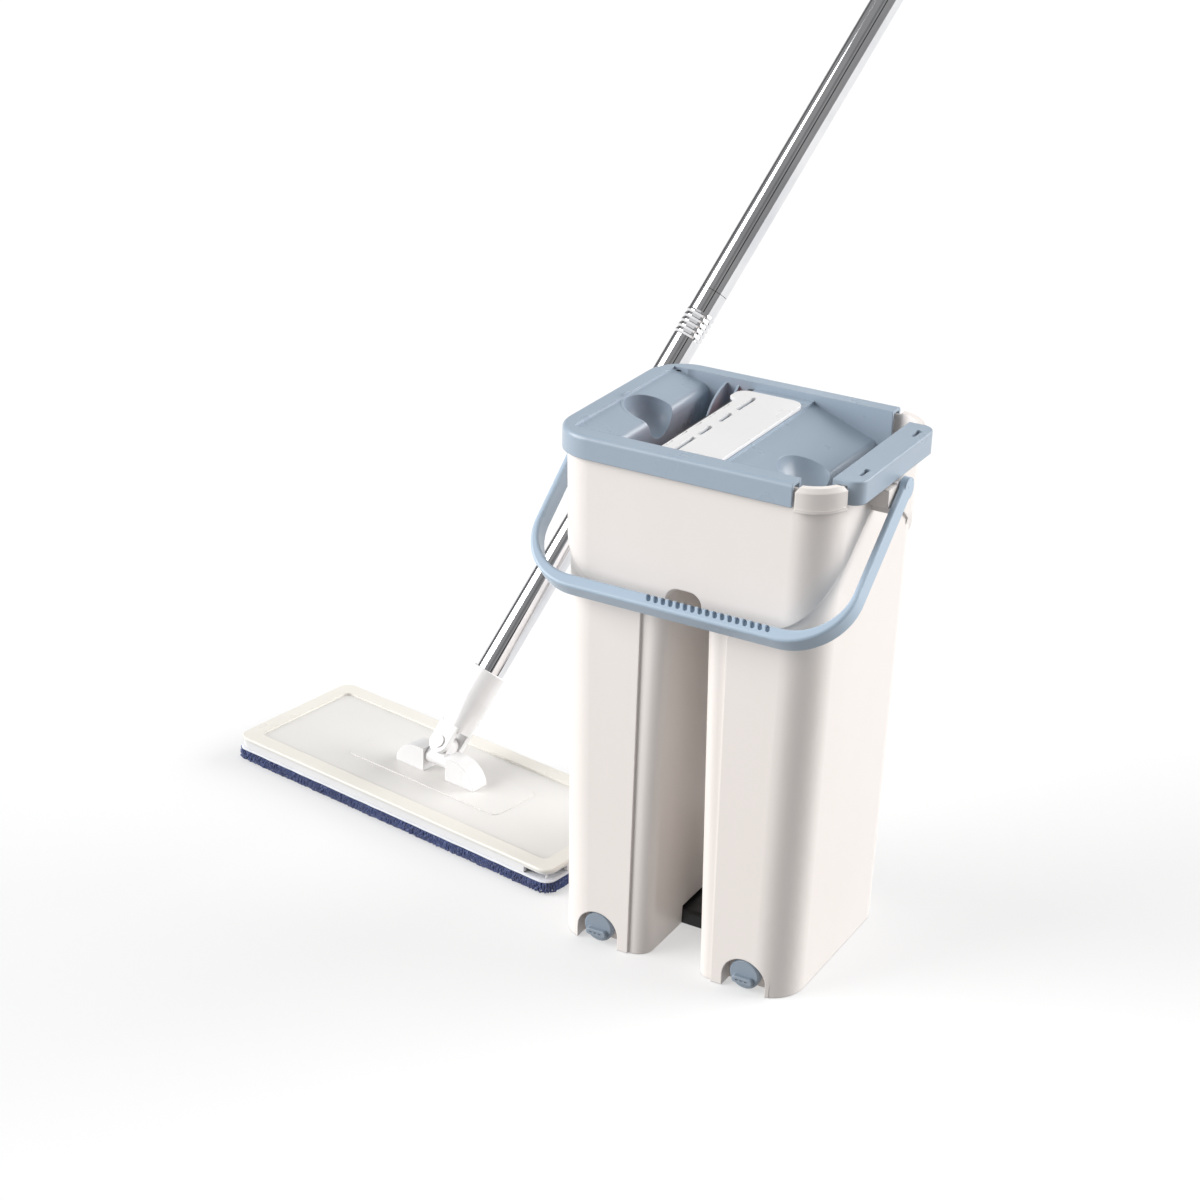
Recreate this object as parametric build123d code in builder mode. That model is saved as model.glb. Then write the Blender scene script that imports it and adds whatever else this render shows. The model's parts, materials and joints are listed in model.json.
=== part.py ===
"""Flat squeeze mop with a two-chamber bucket.

Frame: millimetres, +X to the right along the bucket's front, +Y to the back, +Z up.
The origin is on the floor, under the middle of the bucket.
The mop stands to the left, its pole leaning back past the bucket.
"""
import os
from math import cos, radians, sin

from build123d import *

os.makedirs("parts", exist_ok=True)

# ---------------------------------------------------------------- driving dimensions
# Bucket shell
BODY_TOP = 351.5          # height of the shoulder that the tray's skirt hides
RIM_TOP = 366.0           # top of the shell's wall inside the tray's skirt
WIDTH_FOOT = 177.8
WIDTH_TOP = 194.5
DEPTH_FOOT = 152.0
DEPTH_TOP = 155.3
CORNER_R = 25.0
WALL = 2.6
STEP_Z = 266.0            # lower edge of the upper box
STEP = 1.8                # the legs stand back by this much
LEG_TOP = 345.0           # the legs run up inside the box to here
BOX_ROUND = 50.0          # round of the box's lower corners, seen from the front
LEG_FLOOR = 4.0
BASIN_FLOOR = 285.0
WELL_DEPTH = 141.2        # front to back inside each leg
WELL_ROUND = 20.0         # outer corners of the wells

# Gap between the legs, a tapered archway from front to back
GAP_FOOT = 19.0           # half widths
GAP_HEAD = 12.6
GAP_HEIGHT = 280.0
GAP_MOUTH = 32.0          # half width of the shallow recess round the gap
GAP_ROUND = 11.5

# Drains
DRAIN_X = 55.9
ARCH_HALF = 15.8
ARCH_TOP = 24.5
POCKET_DEPTH = 12.0
DRAIN_Z = 12.5
DRAIN_BORE_R = 8.5
COLLAR_R = 11.5
COLLAR_LENGTH = 4.5
KNOB_R = 11.0

# Foot pedal
PEDAL_HEIGHT = 11.0
PEDAL_FRONT = -21.0
PEDAL_WING_BACK = 42.0
PEDAL_BACK = 108.0

# Carrying handle
PIVOT_Z = 349.0
BAIL_DROP = 40.0          # degrees below level at rest
BAIL_REACH = 120.0        # from the pivots to the middle of the crossbar
BAIL_HALF = 115.0
BAIL_STRAP = 4.5
BAIL_BAR = 9.0
BAIL_BREADTH = 14.5
BAIL_EDGE = 2.0           # rounding of the crossbar's and the arms' edges
GRIP_POCKETS = 17
GRIP_PITCH = 5.2
GRIP_MIDDLE = 26.0        # the pockets stand right of the crossbar's middle
PEG_R = 4.5
PEG_CLEARANCE = 0.06

# Tray
TRAY_TOP = 370.0
SKIRT_Z = 354.5
SKIRT_OUT = 3.6           # how far the skirt stands out of the shell
TRAY_WALL = 2.4
TRAY_RIGHT = 72.0         # the tray's right end
RIM_WIDTH = 12.5
SLOT_LEFT = -62.0
SLOT_RIGHT = -27.0
LEDGE_RIGHT = 15.5
SLOPE_RIGHT = 62.0
TRAY_UNDER = 332.0        # lowest edge of the tray's inner walls
RAMP_FOOT = 361.0         # the left ramp's height at the wringing slot
LEDGE_Z = 365.6           # ledge that carries the wringer plate
SLOPE_FOOT = 347.0        # the right slope's height at the washing slot
LEFT_SCOOP = (-70, 1, 362)
LEFT_SCOOP_R = 18.5
RIGHT_SCOOP = (56.4, -17, 362.8)
RIGHT_SCOOP_R = 24.0
SCOOP_TRIM_LOW = 300.0    # heights well clear of the tray, for trimming the scoops
SCOOP_TRIM_HIGH = 420.0
WRINGER_SCREWS = ((-10, -60), (8, -60), (-10, 50), (8, 50))

# Side bar
BAR_IN = 88.0
BAR_OUT = 107.5
BAR_HALF = 58.0

# Mop
MOP_X = -260.5
MOP_Y = 43.5
MOP_YAW = -9.34           # degrees
LEAN = 36.4               # degrees that the pole leans back over the head
SIDE_LEAN = 8.8           # degrees that it leans along the head
AXLE_Z = 31.0
PIN_RISE = 11.0           # from the long axle to the fork pin
HEAD_LENGTH = 312.0
HEAD_WIDTH = 120.0
PAD_LENGTH = 318.0
PAD_WIDTH = 126.0
PAD_THICK = 9.0
HEAD_TOP = 20.0           # above the floor
NOTCH_LENGTH = 22.0
NOTCH_DEPTH = 4.5
NOTCH_HEIGHT = 4.6
AXLE_R = 3.0
AXLE_HALF = 24.0
EAR_RISE = 6.6            # top of the plate's ears above the axle
FORK_PIN_R = 2.5
PIN_CLEARANCE = 0.06
TUBE_R = 11.0
TUBE_WALL = 0.6
SLEEVE_END = 64.0         # distances along the pole from the fork pin
SEAM_LOW = 396.0
SEAM_HIGH = 742.0
TUBE_END = 1090.0
POLE_END = 1206.0
HANG_HOLE_R = 4.0

# ---------------------------------------------------------------- shared helpers


def shell_width(height):
    """Width of the bucket at a height."""
    return WIDTH_FOOT + (WIDTH_TOP - WIDTH_FOOT) * height / BODY_TOP


def shell_depth(height):
    """Depth of the bucket at a height."""
    return DEPTH_FOOT + (DEPTH_TOP - DEPTH_FOOT) * height / BODY_TOP


def gap_half(height):
    """Half the width of the gap between the legs at a height."""
    return GAP_FOOT + (GAP_HEAD - GAP_FOOT) * height / GAP_HEIGHT


def across(plane, distance):
    """Plane normal to another plane's X direction, its own X along that plane's Y."""
    origin = plane.from_local_coords(Vector(distance, 0, 0))
    return Plane(origin=origin, x_dir=plane.y_dir, z_dir=plane.x_dir)


def facing_back(plane, distance):
    """Plane normal to another plane's Y direction, its own X along that plane's X."""
    origin = plane.from_local_coords(Vector(0, distance, 0))
    return Plane(origin=origin, x_dir=plane.x_dir, z_dir=plane.y_dir)


def finish(builder, name):
    """Label a finished piece and write its STEP file."""
    builder.part.label = name
    export_step(builder.part, f"parts/{name}.step")


head_place = Location((MOP_X, MOP_Y, AXLE_Z), (0, 0, MOP_YAW))
yoke_place = head_place * Location((0, 0, 0), (-LEAN, 0, 0))
pole_place = yoke_place * Location((0, 0, PIN_RISE)) * Location((0, 0, 0), (0, SIDE_LEAN, 0))
HEAD = Plane(head_place)
YOKE = Plane(yoke_place)
POLE = Plane(pole_place)

bail_y = cos(radians(BAIL_DROP))
bail_z = sin(radians(BAIL_DROP))
BAIL = Plane(origin=(0, 0, PIVOT_Z), x_dir=(1, 0, 0), z_dir=(0, bail_z, -bail_y))

half_top_w = WIDTH_TOP / 2

# ---------------------------------------------------------------- bucket shell

with BuildPart() as bucket_shell:
    # Upper box, its lower edge swept up at the sides to the handle's pivots
    with BuildSketch(Plane.XY.offset(STEP_Z)):
        RectangleRounded(shell_width(STEP_Z), shell_depth(STEP_Z), CORNER_R)
    with BuildSketch(Plane.XY.offset(BODY_TOP)):
        RectangleRounded(WIDTH_TOP, DEPTH_TOP, CORNER_R)
    loft()
    with BuildSketch(Plane.XZ):
        with Locations((0, STEP_Z - 1)):
            Rectangle(WIDTH_TOP + 20, BOX_ROUND, align=(Align.CENTER, Align.MIN))
        with BuildSketch(mode=Mode.SUBTRACT):
            with Locations((0, STEP_Z)):
                Rectangle(WIDTH_TOP - 1.5, 2 * BOX_ROUND, align=(Align.CENTER, Align.MIN))
            fillet(vertices().group_by(Axis.Y)[0], BOX_ROUND)
    extrude(amount=DEPTH_TOP, both=True, mode=Mode.SUBTRACT)
    for side in (1, -1):
        with BuildSketch(Plane.YZ.offset(side * (half_top_w - 15))):
            with BuildLine():
                Polyline(
                    (-BOX_ROUND, PIVOT_Z - BOX_ROUND * bail_z / bail_y), (0, PIVOT_Z),
                    (BOX_ROUND, PIVOT_Z - BOX_ROUND * bail_z / bail_y), (BOX_ROUND, STEP_Z - 2),
                    (-BOX_ROUND, STEP_Z - 2), close=True,
                )
            make_face()
        extrude(amount=side * 30, mode=Mode.SUBTRACT)

    # Legs, standing back a little under the box
    with BuildSketch(Plane.XY):
        RectangleRounded(WIDTH_FOOT, DEPTH_FOOT, CORNER_R)
    with BuildSketch(Plane.XY.offset(LEG_TOP)):
        RectangleRounded(shell_width(LEG_TOP) - 2 * STEP, DEPTH_FOOT, CORNER_R)
    loft()
    with BuildSketch(Plane.XY.offset(BODY_TOP)):
        RectangleRounded(WIDTH_TOP, DEPTH_TOP, CORNER_R)
    extrude(amount=RIM_TOP - BODY_TOP)

    # Shallow recess round the mouths of the gap
    for end in (1, -1):
        with BuildSketch(Plane.XZ.offset(end * (DEPTH_FOOT / 2 - STEP))):
            with BuildLine():
                Polyline(
                    (-GAP_MOUTH, 0), (GAP_MOUTH, 0), (GAP_MOUTH - 1, STEP_Z), (1 - GAP_MOUTH, STEP_Z),
                    close=True,
                )
            make_face()
        extrude(amount=end * 5, mode=Mode.SUBTRACT)

    # Spouts at the two right-hand corners: a bead, the wall and a sloping top edge
    for stand_out, low, high, slope in (
        (SKIRT_OUT + 0.7, BODY_TOP + 0.5, BODY_TOP + 2.6, 0),
        (SKIRT_OUT, BODY_TOP + 0.5, RIM_TOP - 1, 0),
        (SKIRT_OUT, RIM_TOP - 1, RIM_TOP + 2, 32),
    ):
        with BuildSketch(Plane.XY.offset(low)):
            RectangleRounded(WIDTH_TOP + 2 * stand_out, DEPTH_TOP + 2 * stand_out, CORNER_R + stand_out)
            Rectangle(4 * TRAY_RIGHT, DEPTH_TOP + 30, mode=Mode.SUBTRACT, align=(Align.MAX, Align.CENTER))
            Rectangle(2 * TRAY_RIGHT + 4, DEPTH_TOP + 30, mode=Mode.SUBTRACT)
            Rectangle(WIDTH_TOP + 40, 2 * BAR_HALF + 5, mode=Mode.SUBTRACT)
        extrude(amount=high - low, taper=slope)

    # Upper basin
    with BuildSketch(Plane.XY.offset(BASIN_FLOOR)):
        RectangleRounded(
            shell_width(BASIN_FLOOR) - 2 * WALL - 2, shell_depth(BASIN_FLOOR) - 2 * WALL - 2, CORNER_R - WALL
        )
    with BuildSketch(Plane.XY.offset(RIM_TOP + 4)):
        RectangleRounded(WIDTH_TOP - 2 * WALL, DEPTH_TOP - 2 * WALL, CORNER_R - WALL)
    loft(mode=Mode.SUBTRACT)

    # Archway between the legs, with rounded mouths
    with BuildSketch(Plane.XZ):
        with BuildLine():
            Polyline(
                (-GAP_FOOT, 0), (GAP_FOOT, 0), (GAP_HEAD, GAP_HEIGHT), (-GAP_HEAD, GAP_HEIGHT), close=True
            )
        make_face()
        fillet(vertices().group_by(Axis.Y)[-1], GAP_HEAD * 0.7)
    extrude(amount=DEPTH_TOP, both=True, mode=Mode.SUBTRACT)
    mouth_edges = [
        edge
        for edge in edges()
        if edge.length > 200 and abs(edge.center().X) < GAP_FOOT and abs(edge.center().Y) > 60
    ]
    fillet(mouth_edges, GAP_ROUND)

    # One well in each leg
    for side in (1, -1):
        foot_in = gap_half(LEG_FLOOR) + WALL
        foot_out = shell_width(LEG_FLOOR) / 2 - WALL
        head_in = gap_half(BASIN_FLOOR) + WALL + 1.5
        head_out = shell_width(BASIN_FLOOR) / 2 - WALL - STEP - 0.5
        foot_middle = Plane((side * (foot_in + foot_out) / 2, 0, LEG_FLOOR))
        head_middle = Plane((side * (head_in + head_out) / 2, 0, BASIN_FLOOR + 1))
        for middle, breadth in ((foot_middle, foot_out - foot_in), (head_middle, head_out - head_in)):
            with BuildSketch(middle):
                Rectangle(breadth, WELL_DEPTH)
                fillet(vertices().sort_by(Axis.X, reverse=side > 0)[:2], WELL_ROUND)
                fillet(vertices().sort_by(Axis.X, reverse=side > 0)[-2:], GAP_ROUND)
        loft(mode=Mode.SUBTRACT)

    # Recessed underside, so that each leg stands on a skirt
    for side in (1, -1):
        under_in = GAP_FOOT + WALL + 8
        under_out = WIDTH_FOOT / 2 - WALL
        under_middle = Plane((side * (under_in + under_out) / 2, 0, 0))
        with BuildSketch(under_middle):
            RectangleRounded(under_out - under_in, DEPTH_FOOT - 2 * STEP - 2 * WALL - 30, 8)
        extrude(amount=LEG_FLOOR - 2.4, mode=Mode.SUBTRACT)

    # Closed ceilings over the pedal's wings
    with BuildSketch(Plane.XY):
        for side in (1, -1):
            with Locations((side * 26, (PEDAL_FRONT + PEDAL_WING_BACK) / 2)):
                Rectangle(14, PEDAL_WING_BACK - PEDAL_FRONT + 8)
    extrude(amount=PEDAL_HEIGHT + 6)
    for side in (1, -1):
        with Locations((side * 25, 0, 0), (side * 25, PEDAL_WING_BACK - 12, 0)):
            Cylinder(4.5, PEDAL_HEIGHT + 16, align=(Align.CENTER, Align.CENTER, Align.MIN))
    with BuildSketch(Plane.XZ.offset(-PEDAL_WING_BACK - 0.5)):
        with BuildLine():
            Polyline(
                (-31, 0), (31, 0), (31, PEDAL_HEIGHT + 1), (28, PEDAL_HEIGHT + 3), (-28, PEDAL_HEIGHT + 3),
                (-31, PEDAL_HEIGHT + 1), close=True,
            )
        make_face()
    extrude(amount=PEDAL_WING_BACK - PEDAL_FRONT + 1, mode=Mode.SUBTRACT)
    for side in (1, -1):
        with Locations((side * 25, 0, 0), (side * 25, PEDAL_WING_BACK - 12, 0)):
            Cylinder(
                1.4, PEDAL_HEIGHT + 13, align=(Align.CENTER, Align.CENTER, Align.MIN), mode=Mode.SUBTRACT
            )

    # Drain alcoves: an arch in the front skirt, closed behind, with a collar round the bore
    for side in (1, -1):
        with BuildSketch(Plane.XZ.offset(DEPTH_FOOT / 2 - POCKET_DEPTH - WALL)):
            with Locations((side * DRAIN_X, 0)):
                Rectangle(2 * (ARCH_HALF + WALL), ARCH_TOP - ARCH_HALF, align=(Align.CENTER, Align.MIN))
            with Locations((side * DRAIN_X, ARCH_TOP - ARCH_HALF)):
                Circle(ARCH_HALF + WALL)
            with Locations((side * DRAIN_X, 0)):
                Rectangle(60, 20, align=(Align.CENTER, Align.MAX), mode=Mode.SUBTRACT)
        extrude(amount=POCKET_DEPTH + WALL - 2)
        with BuildSketch(Plane.XZ.offset(DEPTH_FOOT / 2 - POCKET_DEPTH)):
            with Locations((side * DRAIN_X, 0)):
                Rectangle(2 * ARCH_HALF, ARCH_TOP - ARCH_HALF, align=(Align.CENTER, Align.MIN))
            with Locations((side * DRAIN_X, ARCH_TOP - ARCH_HALF)):
                Circle(ARCH_HALF)
        extrude(amount=POCKET_DEPTH + 5, mode=Mode.SUBTRACT)
        with BuildSketch(Plane.XZ.offset(DEPTH_FOOT / 2 - POCKET_DEPTH)):
            with Locations((side * DRAIN_X, DRAIN_Z)):
                Circle(COLLAR_R)
        extrude(amount=COLLAR_LENGTH)
        with BuildSketch(Plane.XZ.offset(DEPTH_FOOT / 2 - POCKET_DEPTH - WALL - 3)):
            with Locations((side * DRAIN_X, DRAIN_Z)):
                Circle(DRAIN_BORE_R)
        extrude(amount=POCKET_DEPTH, mode=Mode.SUBTRACT)

    # Bosses for the handle's pegs and a stepped stop in front of each
    for side in (1, -1):
        boss_plane = Plane.YZ.offset(side * (half_top_w - 3))
        with BuildSketch(boss_plane):
            with Locations((0, PIVOT_Z)):
                Circle(9)
            with Locations((0, SKIRT_Z - 0.4)):
                Rectangle(30, 10, align=(Align.CENTER, Align.MIN), mode=Mode.SUBTRACT)
            with BuildLine():
                Polyline(
                    (-20, PIVOT_Z + 4), (-20, PIVOT_Z - 8), (-14, PIVOT_Z - 9), (-13, PIVOT_Z - 14),
                    (-6, PIVOT_Z - 16), (0, PIVOT_Z - 8), (0, PIVOT_Z + 4), close=True,
                )
            make_face()
        extrude(amount=side * (BAIL_HALF - BAIL_STRAP - 0.8 - half_top_w + 3))
        with BuildSketch(Plane.YZ.offset(side * (half_top_w - 1))):
            with Locations((0, PIVOT_Z)):
                Circle(PEG_R + PEG_CLEARANCE)
        extrude(amount=side * 20, mode=Mode.SUBTRACT)

    # Rib on the basin's floor that keeps the two chambers apart
    with BuildSketch(Plane.XY.offset(BASIN_FLOOR - 1)):
        Rectangle(WALL, shell_depth(BASIN_FLOOR) - WALL)
    extrude(amount=34)

finish(bucket_shell, "bucket_shell")

# ---------------------------------------------------------------- foot pedal

with BuildPart() as foot_pedal:
    with BuildSketch(Plane.XY):
        with Locations((0, (PEDAL_FRONT + PEDAL_WING_BACK) / 2)):
            RectangleRounded(60, PEDAL_WING_BACK - PEDAL_FRONT, 3)
        with Locations((0, PEDAL_FRONT)):
            Rectangle(34, PEDAL_BACK - PEDAL_FRONT - 10, align=(Align.CENTER, Align.MIN))
        with Locations((0, PEDAL_BACK - 17)):
            RectangleRounded(44, 34, 10)
    extrude(amount=PEDAL_HEIGHT)
    fillet(faces().sort_by(Axis.Z)[-1].edges(), 2.5)
    with BuildSketch(Plane.XY.offset(PEDAL_HEIGHT - 1)):
        with Locations((0, PEDAL_BACK - 17)):
            with GridLocations(0, 5, 1, 5):
                SlotOverall(30, 2)
    extrude(amount=2, mode=Mode.SUBTRACT)
    for side in (1, -1):
        with Locations((side * 25, 0, 0), (side * 25, PEDAL_WING_BACK - 12, 0)):
            Cylinder(
                1.7, PEDAL_HEIGHT, align=(Align.CENTER, Align.CENTER, Align.MIN), mode=Mode.SUBTRACT
            )
            Cylinder(3.4, 3.2, align=(Align.CENTER, Align.CENTER, Align.MIN), mode=Mode.SUBTRACT)
finish(foot_pedal, "foot_pedal")

with BuildPart() as pedal_screws:
    for side in (1, -1):
        with Locations((side * 25, 0, 1.2), (side * 25, PEDAL_WING_BACK - 12, 1.2)):
            Cylinder(3.1, 2, align=(Align.CENTER, Align.CENTER, Align.MIN))
            Cylinder(1.4, PEDAL_HEIGHT + 10, align=(Align.CENTER, Align.CENTER, Align.MIN))
finish(pedal_screws, "pedal_screws")

# ---------------------------------------------------------------- drain plugs

drain_front = DEPTH_FOOT / 2 - POCKET_DEPTH      # distance of the alcove's back wall from the middle
collar_face = drain_front + COLLAR_LENGTH
for side, name in ((-1, "left"), (1, "right")):
    bore_face = Plane(
        origin=(side * DRAIN_X, -collar_face - 0.2, DRAIN_Z), x_dir=(1, 0, 0), z_dir=(0, -1, 0)
    )
    with BuildPart() as drain_plug:
        with BuildSketch(bore_face):
            Circle(KNOB_R - 1)
        extrude(amount=1)
        with BuildSketch(bore_face):
            Circle(DRAIN_BORE_R - 0.06)
        extrude(amount=-10)
        with BuildSketch(bore_face.offset(-5.5)):
            Circle(DRAIN_BORE_R)
            Circle(DRAIN_BORE_R - 1.8, mode=Mode.SUBTRACT)
        extrude(amount=-2.2, mode=Mode.SUBTRACT)
        with BuildSketch(bore_face.offset(-7)):
            Circle(3.06)
        extrude(amount=12, mode=Mode.SUBTRACT)
    finish(drain_plug, f"{name}_drain_plug")

    with BuildPart() as drain_oring:
        with BuildSketch(bore_face.offset(-5.6)):
            Circle(DRAIN_BORE_R - 0.02)
            Circle(DRAIN_BORE_R - 1.8, mode=Mode.SUBTRACT)
        extrude(amount=-2)
    finish(drain_oring, f"{name}_drain_oring")

    with BuildPart() as drain_knob:
        with BuildSketch(bore_face.offset(1.1)):
            Circle(KNOB_R)
        extrude(amount=5)
        chamfer(faces().sort_by(Axis.Y)[0].edges(), 1.2)
        with BuildSketch(bore_face.offset(6.0)):
            with Locations((0, -3.2)):
                SlotOverall(15.5, 5)
        extrude(amount=3.6)
        fillet(faces().sort_by(Axis.Y)[0].edges(), 0.8)
        with BuildSketch(bore_face.offset(8.9)):
            with Locations((0, -3.2)):
                with GridLocations(3.4, 0, 3, 1):
                    SlotOverall(2.4, 0.9)
        extrude(amount=2, mode=Mode.SUBTRACT)
        with BuildSketch(bore_face.offset(-6.5)):
            Circle(3.0)
        extrude(amount=8)
    finish(drain_knob, f"{name}_drain_knob")

# ---------------------------------------------------------------- carrying handle

with BuildPart() as bail_handle:
    inner_half = BAIL_HALF - BAIL_STRAP
    inner_reach = BAIL_REACH - BAIL_BAR / 2
    outer_reach = BAIL_REACH + BAIL_BAR / 2
    with BuildSketch(BAIL):
        with BuildLine():
            FilletPolyline(
                (-BAIL_HALF, 0), (-BAIL_HALF, outer_reach), (BAIL_HALF, outer_reach), (BAIL_HALF, 0),
                radius=42,
            )
            Line((BAIL_HALF, 0), (inner_half, 0))
            FilletPolyline(
                (inner_half, 0), (inner_half, inner_reach), (-inner_half, inner_reach), (-inner_half, 0),
                radius=35,
            )
            Line((-inner_half, 0), (-BAIL_HALF, 0))
        make_face()
    extrude(amount=BAIL_BREADTH / 2, both=True)
    long_edges = [
        edge
        for edge in edges()
        if abs(abs(BAIL.to_local_coords(edge.center()).Z) - BAIL_BREADTH / 2) < 0.01
        and BAIL.to_local_coords(edge.center()).Y > 1
    ]
    fillet(long_edges, BAIL_EDGE)
    for side in (1, -1):
        with BuildSketch(Plane.YZ.offset(side * inner_half)):
            with Locations((0, PIVOT_Z)):
                Circle(BAIL_BREADTH / 2)
        extrude(amount=side * BAIL_STRAP)
        with BuildSketch(Plane.YZ.offset(side * (inner_half + 1))):
            with Locations((0, PIVOT_Z)):
                Circle(PEG_R)
        extrude(amount=-side * 12)
    # Slanted pockets in the crossbar's upper side, for the fingers
    with BuildSketch(BAIL.offset(-BAIL_BREADTH / 2)):
        with Locations((GRIP_MIDDLE, inner_reach + 2.6)):
            with GridLocations(GRIP_PITCH, 0, GRIP_POCKETS, 1):
                SlotOverall(5.6, 2.8, rotation=66)
    extrude(amount=3.2, mode=Mode.SUBTRACT)
finish(bail_handle, "bail_handle")

# ---------------------------------------------------------------- tray

tray_outer_w = WIDTH_TOP + 2 * SKIRT_OUT
tray_outer_d = DEPTH_TOP + 2 * SKIRT_OUT
tray_outer_r = CORNER_R + SKIRT_OUT
rim_left = -tray_outer_w / 2 + RIM_WIDTH
rim_front = tray_outer_d / 2 - RIM_WIDTH
inner_r = tray_outer_r - RIM_WIDTH

with BuildPart() as lid_tray:
    # Outer skirt with its flat rim
    with BuildSketch(Plane.XY.offset(SKIRT_Z)):
        RectangleRounded(tray_outer_w, tray_outer_d, tray_outer_r)
    extrude(amount=TRAY_TOP - SKIRT_Z)
    fillet(faces().sort_by(Axis.Z)[-1].edges(), 3)

    # Well inside the rim, and the wall that hangs round it
    with BuildSketch(Plane.XY.offset(TRAY_UNDER)):
        with Locations((rim_left - TRAY_WALL, 0)):
            Rectangle(250, 2 * (rim_front + TRAY_WALL), align=(Align.MIN, Align.CENTER))
        fillet(vertices().group_by(Axis.X)[0], inner_r + TRAY_WALL)
    extrude(amount=TRAY_TOP - TRAY_UNDER - 1)
    with BuildSketch(Plane.XY.offset(TRAY_UNDER - 1)):
        with Locations((rim_left, 0)):
            Rectangle(260, 2 * rim_front, align=(Align.MIN, Align.CENTER))
        fillet(vertices().group_by(Axis.X)[0], inner_r)
    extrude(amount=60, mode=Mode.SUBTRACT)

    # Floor: left ramp and hump, then the ledge and the long slope to the washing slot
    with BuildSketch(Plane.XZ.offset(-rim_front - 1)):
        with BuildLine():
            Polyline(
                (rim_left - 2, TRAY_TOP - 1.2), (SLOT_LEFT, RAMP_FOOT), (SLOT_LEFT, TRAY_UNDER),
                (SLOT_LEFT - TRAY_WALL, TRAY_UNDER), (SLOT_LEFT - TRAY_WALL, RAMP_FOOT - 4),
                (rim_left - 2, TRAY_TOP - 1.2 - 2 * TRAY_WALL), close=True,
            )
        make_face()
        fillet(vertices().sort_by_distance((SLOT_LEFT, RAMP_FOOT))[0], 7)
        fillet(vertices().sort_by_distance((SLOT_LEFT - TRAY_WALL, RAMP_FOOT - 4))[0], 5)
    extrude(amount=2 * rim_front + 2)
    with BuildSketch(Plane.XZ.offset(-rim_front - 1)):
        with BuildLine():
            Polyline(
                (SLOT_RIGHT, TRAY_UNDER), (SLOT_RIGHT, LEDGE_Z), (LEDGE_RIGHT + 0.5, LEDGE_Z),
                (LEDGE_RIGHT + 0.5, LEDGE_Z - 2), (SLOPE_RIGHT, SLOPE_FOOT), (SLOPE_RIGHT, TRAY_UNDER),
                (SLOPE_RIGHT - TRAY_WALL, TRAY_UNDER), (SLOPE_RIGHT - TRAY_WALL, SLOPE_FOOT - 1.6),
                (LEDGE_RIGHT, LEDGE_Z - 4.6), (SLOT_RIGHT + TRAY_WALL, LEDGE_Z - 3),
                (SLOT_RIGHT + TRAY_WALL, TRAY_UNDER), close=True,
            )
        make_face()
        fillet(vertices().sort_by_distance((SLOPE_RIGHT, SLOPE_FOOT))[0], 5)
    extrude(amount=2 * rim_front + 2)

    # Hollow under the rim for the shell's wall
    with BuildSketch(Plane.XY.offset(TRAY_UNDER - 1)):
        RectangleRounded(
            tray_outer_w - 2 * TRAY_WALL, tray_outer_d - 2 * TRAY_WALL, tray_outer_r - TRAY_WALL
        )
        with BuildSketch(mode=Mode.SUBTRACT):
            with Locations((rim_left - TRAY_WALL, 0)):
                Rectangle(250, 2 * (rim_front + TRAY_WALL), align=(Align.MIN, Align.CENTER))
            fillet(vertices().group_by(Axis.X)[0], inner_r + TRAY_WALL)
    extrude(amount=TRAY_TOP - TRAY_UNDER - TRAY_WALL + 1, mode=Mode.SUBTRACT)

    # Round scoops for the mop's joint, one beside each slot, kept below the floor's slopes
    with Locations(LEFT_SCOOP):
        Sphere(LEFT_SCOOP_R + TRAY_WALL)
    with Locations(RIGHT_SCOOP):
        Sphere(RIGHT_SCOOP_R + TRAY_WALL)
    with BuildSketch(Plane.XZ.offset(-rim_front + 1)):
        with BuildLine():
            Polyline(
                (rim_left, TRAY_TOP - 1.6), (SLOT_LEFT, RAMP_FOOT), (SLOT_LEFT, SCOOP_TRIM_LOW),
                (SLOT_RIGHT, SCOOP_TRIM_LOW), (SLOT_RIGHT, LEDGE_Z), (LEDGE_RIGHT + 0.5, LEDGE_Z),
                (LEDGE_RIGHT + 0.5, LEDGE_Z - 2), (SLOPE_RIGHT, SLOPE_FOOT),
                (SLOPE_RIGHT, SCOOP_TRIM_LOW), (WIDTH_TOP, SCOOP_TRIM_LOW),
                (WIDTH_TOP, SCOOP_TRIM_HIGH), (rim_left, SCOOP_TRIM_HIGH), close=True,
            )
        make_face()
        fillet(vertices().sort_by_distance((SLOT_LEFT, RAMP_FOOT))[0], 7)
        fillet(vertices().sort_by_distance((SLOPE_RIGHT, SLOPE_FOOT))[0], 5)
    extrude(amount=2 * rim_front - 2, mode=Mode.SUBTRACT)
    with Locations(LEFT_SCOOP):
        Sphere(LEFT_SCOOP_R, mode=Mode.SUBTRACT)
    with Locations(RIGHT_SCOOP):
        Sphere(RIGHT_SCOOP_R, mode=Mode.SUBTRACT)

    # Guide fins at the back of the wringing slot
    for fin_x, fin_front in ((-49, 36), (-40, 50)):
        with BuildSketch(Plane.YZ.offset(fin_x - 0.8)):
            with BuildLine():
                tip = (rim_front + 1, 366)
                foot = (fin_front, TRAY_UNDER + 6)
                Line((rim_front + 1, TRAY_UNDER + 6), tip)
                RadiusArc(tip, foot, -38)
                Line(foot, (rim_front + 1, TRAY_UNDER + 6))
            make_face()
        extrude(amount=1.6)

    # Holes for the wringer's screws
    with Locations(*[(x, y, 358) for x, y in WRINGER_SCREWS]):
        Cylinder(1.6, 9, align=(Align.CENTER, Align.CENTER, Align.MIN), mode=Mode.SUBTRACT)

    # The tray stops short of the washing slot
    with Locations((TRAY_RIGHT, 0, TRAY_TOP)):
        Box(200, 2 * tray_outer_d, 200, align=(Align.MIN, Align.CENTER, Align.CENTER), mode=Mode.SUBTRACT)
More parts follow.
